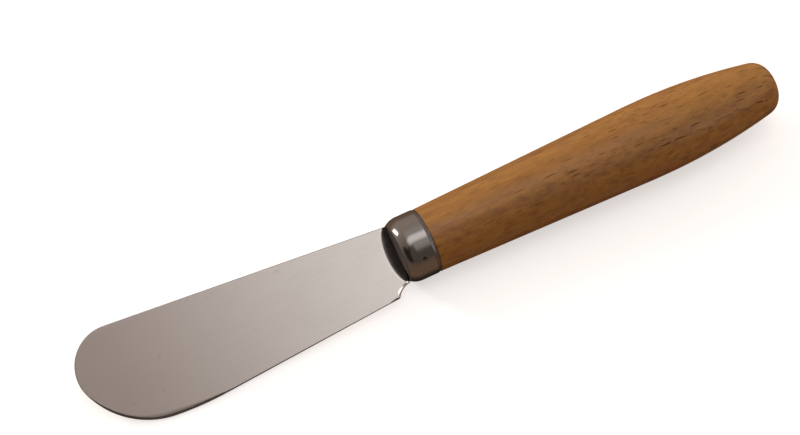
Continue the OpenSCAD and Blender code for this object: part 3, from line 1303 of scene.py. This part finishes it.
@dataclass
class RestingPlace:
    """Lays the knife down on its ferrule, the belly of its handle and the edge of its blade."""

    ferrule: Ferrule
    blade: Blade
    handle: Handle

    def matrix(self) -> Matrix:
        """Works out how the knife lies.

        Returns:
            The way from the knife's own axes to the frame, in metres.
        """
        shoulder = self.ferrule.shoulder_c
        handle = self.handle
        ahead = handle.belly_u - shoulder.x
        below = shoulder.y - handle.fore_c.y
        pitch = math.asin((handle.fore_r - self.ferrule.shoulder_r) / math.hypot(ahead, below))
        pitch -= math.atan2(below, ahead)
        lift = handle.fore_r + handle.fore_c.y * math.cos(pitch) - handle.belly_u * math.sin(pitch)
        arcs = self.blade.arcs()
        under, top = arcs[Stretch.UNDER], arcs[Stretch.TOP]
        edge_h = (lift + under.center.x * math.sin(pitch)) / math.cos(pitch)
        first = self._roll(edge_h, under, 1.0)
        roll = self._roll(edge_h, under, 1 / math.cos(math.atan2(math.tan(pitch), math.sin(first))))
        tip_end = (top.center.x - top.radius) * math.cos(pitch)
        tip_end -= top.center.y * math.sin(roll) * math.sin(pitch)
        butt_end = handle.length * math.cos(pitch) + handle.flat_r * math.sin(pitch)
        mid_v = (top.center.y + top.radius + under.center.y - under.radius) * math.cos(roll) / 2
        place = Matrix.Translation(Vector((-(tip_end + butt_end) / 2, -mid_v, lift)) * MM)
        return place @ Matrix.Rotation(-pitch, 4, "Y") @ Matrix.Rotation(roll, 4, "X")

    def _roll(self, edge_h: float, under: Arc, stretch: float) -> float:
        """Finds how far the blade leans for its edge to touch the table.

        Args:
            edge_h: Height of the knife's axis where the edge touches.
            under: The long curve of the edge.
            stretch: How much longer that curve looks along the tilted axis.

        Returns:
            The lean in radians.
        """
        depth = under.radius * stretch - under.center.y
        half = self.blade.thickness / 2
        return math.asin(edge_h / math.hypot(depth, half)) - math.atan2(half, depth)


# The studio


@dataclass(frozen=True)
class Softbox:
    """One soft light of the studio, in metres, aimed at the knife."""

    name: str
    place: tuple[float, float, float]
    size: tuple[float, float]
    power: float
    roll: float
    color: Color = (1.0, 0.98, 0.96)
    target: tuple[float, float, float] = (0.0, 0.0, 0.0)

    def build(self) -> bpy.types.Object:
        """Hangs the light.

        Returns:
            The light.
        """
        lamp = bpy.data.lights.new(self.name, "AREA")
        lamp.shape = "RECTANGLE"
        lamp.size, lamp.size_y = self.size
        lamp.energy = self.power
        lamp.color = self.color
        light = add(self.name, lamp)
        light.location = self.place
        aim(light, Vector(self.target) - Vector(self.place), self.roll)
        return light


@dataclass(frozen=True)
class Glow:
    """A soft round patch of the room, lighter or darker than the walls, in degrees."""

    azimuth: float
    elevation: float
    core: float
    rim: float
    color: Color
    strength: float = 1.0

    def over(self, room: Wiring, way: Socket, under: Socket) -> Socket:
        """Lays the patch over the room.

        Args:
            room: Where the room's light is wired.
            way: The direction looked in.
            under: The light without the patch.

        Returns:
            The light with the patch.
        """
        turn, rise = math.radians(self.azimuth), math.radians(self.elevation)
        middle = (math.cos(turn) * math.cos(rise), math.sin(turn) * math.cos(rise), math.sin(rise))
        near = room.node("VectorMath", way, middle, operation="DOT_PRODUCT").outputs["Value"]
        limits = math.cos(math.radians(self.rim)), math.cos(math.radians(self.core))
        return room.blend(room.fit(near, *limits, 0.0, self.strength), under, self.color)


@dataclass
class Studio:
    """A pale light table in a dim warm room, with a key light behind and two fill lights.

    The patches are what the polished steel mirrors, and each is laid over the ones before it. The
    patch below the horizon is laid last, and darkens what the knife's lower outlines mirror.
    """

    table_m: float = 12.0
    front_wall: Color = (0.195, 0.161, 0.134)
    rear_wall: Color = (0.78, 0.65, 0.56)
    ground: Color = (0.38, 0.24, 0.16)
    horizon: float = 0.25
    overhead: Color = (2.10, 1.99, 1.96)
    dark_wall: Color = (0.05, 0.04, 0.035)
    dark_corner: Color = (0.06, 0.045, 0.038)
    dark_nook: Color = (0.03, 0.02, 0.017)
    patches: tuple[Glow, ...] = (
        # The light that the flat of the blade mirrors, and a wide soft one beside the zenith
        Glow(-37.0, 51.3, 16.2, 31.4, (0.905, 0.87, 0.805)),
        Glow(60.0, 76.0, 0.0, 30.0, (0.92, 0.86, 0.82), 0.75),
        # The overhead light, which makes the bright band on the ferrule
        Glow(-6.0, 73.7, 2.0, 17.0, overhead),
        Glow(-25.0, 84.5, 2.0, 17.0, overhead),
        Glow(-132.0, 80.5, 2.0, 17.0, overhead, 0.75),
        # A dim light, and the dark wall that the ferrule's rolled rim and the dip before the cap mirror
        Glow(9.0, 48.6, 4.0, 19.0, (0.66, 0.62, 0.60)),
        Glow(25.0, 62.0, 3.0, 10.0, dark_wall),
        Glow(0.0, 66.0, 3.0, 10.0, dark_wall),
        Glow(-28.0, 62.0, 3.0, 10.0, dark_wall),
        Glow(-50.0, 49.0, 3.0, 10.0, dark_wall),
        # The dark corner, which makes the dark sliver between the ferrule's shoulder and its wall
        Glow(-155.0, 38.0, 6.0, 14.0, dark_corner, 0.95),
        Glow(-145.0, 33.0, 7.0, 15.0, dark_corner, 0.95),
        Glow(-136.0, 27.0, 8.0, 16.0, dark_corner, 0.95),
        Glow(-128.0, 19.0, 7.0, 15.0, dark_corner, 0.95),
        Glow(-122.0, 12.0, 4.0, 10.0, dark_corner, 0.95),
        # The dark nook, which the cap's flat face mirrors
        Glow(-130.0, 51.5, 4.0, 10.5, dark_nook, 0.65),
        Glow(-135.0, 42.0, 3.0, 10.0, dark_nook, 0.7),
    )
    under: Glow = Glow(60.0, -75.0, 20.0, 60.0, (0.05, 0.035, 0.028))
    finish: PaleTable = PaleTable()
    lights: tuple[Softbox, ...] = (
        Softbox("key_light", (-0.736, 0.977, 0.571), (0.60, 0.22), 6.2, 62.0),
        Softbox("side_light", (0.632, -1.011, 0.634), (0.28, 0.80), 0.95, 0.0),
        Softbox("strip_light", (1.212, 0.170, 0.570), (0.16, 0.45), 0.5, 0.0),
    )

    def build(self, lay: Matrix) -> None:
        """Sets the table, the room and the lights.

        Args:
            lay: Where the knife lies.
        """
        half = self.table_m / 2
        corners = [(-half, -half, 0), (half, -half, 0), (half, half, 0), (-half, half, 0)]
        mesh = bpy.data.meshes.new("table_top")
        mesh.from_pydata(corners, [], [(0, 1, 2, 3)])
        table = add("table_top", mesh)
        table.data.materials.append(self.finish.material(lay))
        table.visible_glossy = False
        table.visible_diffuse = False
        self._room()
        for light in self.lights:
            light.build()
        bpy.context.scene.view_settings.view_transform = "Standard"
        bpy.context.scene.view_settings.look = "None"

    def _room(self) -> None:
        """Makes the room: walls that grow lighter to the rear, a brown floor and the patches."""
        world = bpy.data.worlds.new("dim_room")
        bpy.context.scene.world = world
        world.use_nodes = True
        room = Wiring(world.node_tree, "Background")
        way = room.node("TexCoord").outputs["Generated"]
        parts = room.node("SeparateXYZ", way).outputs
        rear = room.fit(parts[1], -1.0, 1.0, 0.0, 1.0)
        walls = room.blend(rear, self.front_wall, self.rear_wall)
        for patch in self.patches:
            walls = patch.over(room, way, walls)
        above = room.fit(parts[2], -self.horizon, self.horizon, 0.0, 1.0)
        color = room.blend(above, self.ground, walls)
        room.wire(self.under.over(room, way, color), "Color")


@dataclass
class PhotoCamera:
    """The camera at the photograph's viewing angle, in millimetres and degrees."""

    target: tuple[float, float, float] = (-6.1, 8.4, 8.0)
    distance: float = 468.6
    azimuth: float = -23.29
    elevation: float = 59.44
    bank: float = -3.44
    lens: float = 90.0
    sensor: float = 36.0
    nearest_m: float = 0.01
    farthest_m: float = 50.0

    def build(self) -> bpy.types.Object:
        """Sets up the camera.

        Returns:
            The camera.
        """
        turn, rise = math.radians(self.azimuth), math.radians(self.elevation)
        back = Vector((math.sin(turn) * math.cos(rise), -math.cos(turn) * math.cos(rise), math.sin(rise)))
        lens = bpy.data.cameras.new("photo_camera")
        lens.lens = self.lens
        lens.sensor_width = self.sensor
        lens.sensor_fit = "HORIZONTAL"
        lens.clip_start, lens.clip_end = self.nearest_m, self.farthest_m
        camera = add("photo_camera", lens)
        camera.location = (Vector(self.target) + back * self.distance) * MM
        aim(camera, -back, self.bank)
        bpy.context.scene.camera = camera
        return camera


def main() -> None:
    """Builds the knife, its finishes, the studio and the camera, and reports each."""
    logging.basicConfig(level=logging.INFO, format="%(message)s")
    ferrule = Ferrule()
    blade = Blade(ferrule)
    handle = Handle(ferrule)
    lay = RestingPlace(ferrule, blade, handle).matrix()
    for maker, piece in (
        (blade, blade.build(lay)),
        (ferrule, ferrule.build(blade.tang_w, blade.tang_t, lay)),
        (handle, handle.build(lay)),
    ):
        maker.dress(piece, lay)
        log.info("built %s with %d points", piece.name, len(piece.data.vertices))
    TangResin().dress(lay)
    log.info("dressed the resin round the tang")
    Studio().build(lay)
    camera = PhotoCamera().build()
    log.info("set the studio and %s", camera.name)


if __name__ == "__main__":
    main()
